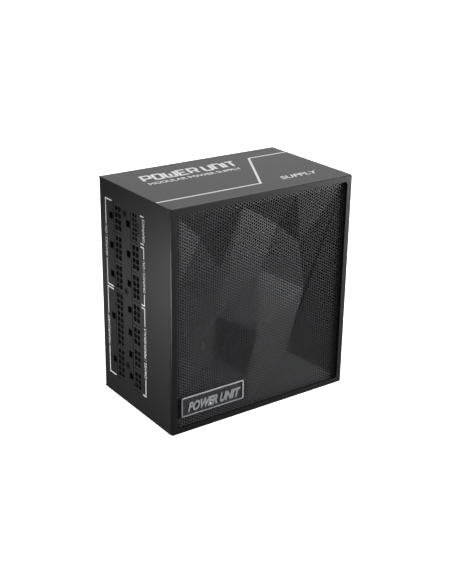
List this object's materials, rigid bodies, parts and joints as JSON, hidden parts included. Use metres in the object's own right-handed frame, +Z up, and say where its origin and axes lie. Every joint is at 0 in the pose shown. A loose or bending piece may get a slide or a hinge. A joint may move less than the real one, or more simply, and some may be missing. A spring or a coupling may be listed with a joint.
{
  "type": "computer power supply unit",
  "caption": "Desktop computer power supply with a faceted perforated fan grille, a panel of modular sockets and a rear mains inlet with rocker switch, standing on a narrow side.",
  "frame": {"origin": "centre of the narrow side that it stands on", "axes": "+Z up, -Y towards the fan face, -X towards the modular sockets, +X towards the rear panel"},
  "size_m": [0.1442, 0.086, 0.15],
  "materials": {
    "case_steel": "fine textured black powder coat",
    "bezel": "satin black",
    "grille": "black coated perforated sheet",
    "badge": "dark anodised plate with bright edge",
    "socket": "moulded black nylon",
    "pin": "plated contact",
    "fan_plastic": "moulded black PBT",
    "magnet": "bonded ferrite",
    "steel": "ground steel",
    "bronze": "sintered bronze",
    "copper": "enamelled copper winding",
    "lamination": "stamped silicon steel",
    "board_green": "solder mask on glass laminate",
    "insulator": "black polypropylene film",
    "screw_black": "black zinc",
    "nickel": "nickel plate",
    "heatsink": "extruded aluminium",
    "ferrite": "ground ferrite",
    "tape": "polyester tape over winding",
    "cap_sleeve": "shrunk sleeve",
    "cap_can": "aluminium can",
    "film_yellow": "moulded film capacitor",
    "disc_blue": "dipped ceramic",
    "disc_green": "dipped ceramic",
    "glass_fuse": "ceramic fuse with end caps",
    "relay_case": "moulded relay case",
    "epoxy": "moulded epoxy",
    "inlet": "moulded black thermoplastic",
    "rocker": "moulded black rocker",
    "lead": "insulated wire"
  },
  "bodies": {
    "case": {"ac_inlet": "inlet", "badge_plate": "badge", "base_shell": "case_steel", "board_screws": "nickel", "board_standoffs": "nickel", "boost_choke_core": "ferrite", "boost_choke_winding": "copper", "bridge_rectifier": "epoxy", "bulk_capacitors": "cap_sleeve", "bus_bars": "copper", "case_screws": "screw_black", "cover_shell": "case_steel", "fan_bearing": "bronze", "fan_board": "board_green", "fan_coils": "copper", "fan_frame": "fan_plastic", "fan_screws": "screw_black", "fan_stator": "lamination", "front_bezel": "bezel", "front_grille": "grille", "input_heatsink": "heatsink", "inrush_relay": "relay_case", "inrush_thermistor": "disc_green", "insulation_sheet": "insulator", "line_filter_chokes": "copper", "main_board": "board_green", "mains_blades": "nickel", "mains_fuse": "glass_fuse", "mains_leads": "lead", "modular_board": "board_green", "output_capacitors": "cap_can", "output_heatsink": "heatsink", "panel_spacers": "nickel", "power_transistors": "epoxy", "rear_panel": "case_steel", "resonant_choke": "tape", "riser_boards": "board_green", "socket_10_way": "socket", "socket_18_way": "socket", "socket_6_way_a": "socket", "socket_6_way_b": "socket", "socket_6_way_c": "socket", "socket_6_way_d": "socket", "socket_8_way_a": "socket", "socket_8_way_b": "socket", "socket_8_way_c": "socket", "socket_8_way_d": "socket", "socket_8_way_e": "socket", "socket_fine_16_way": "socket", "socket_pins": "pin", "standby_transformer": "tape", "switch_housing": "inlet", "transformer_core": "ferrite", "transformer_winding": "tape", "x_capacitors": "film_yellow", "y_capacitors": "disc_blue"},
    "rotor": {"fan_rotor": "fan_plastic", "rotor_magnet": "magnet", "fan_shaft": "steel"},
    "rocker": {"switch_rocker": "rocker"}
  },
  "joints": [
    {"name": "fan_spin", "type": "hinge", "parent": "case", "child": "rotor", "pos_m": [0, -0.025, 0.075], "axis": [0, 1, 0], "continuous": true},
    {"name": "rocker_tilt", "type": "hinge", "parent": "case", "child": "rocker", "pos_m": [0.0675, 0.018, 0.107], "axis": [0, 0, -1], "range_deg": [0, 24]}
  ]
}
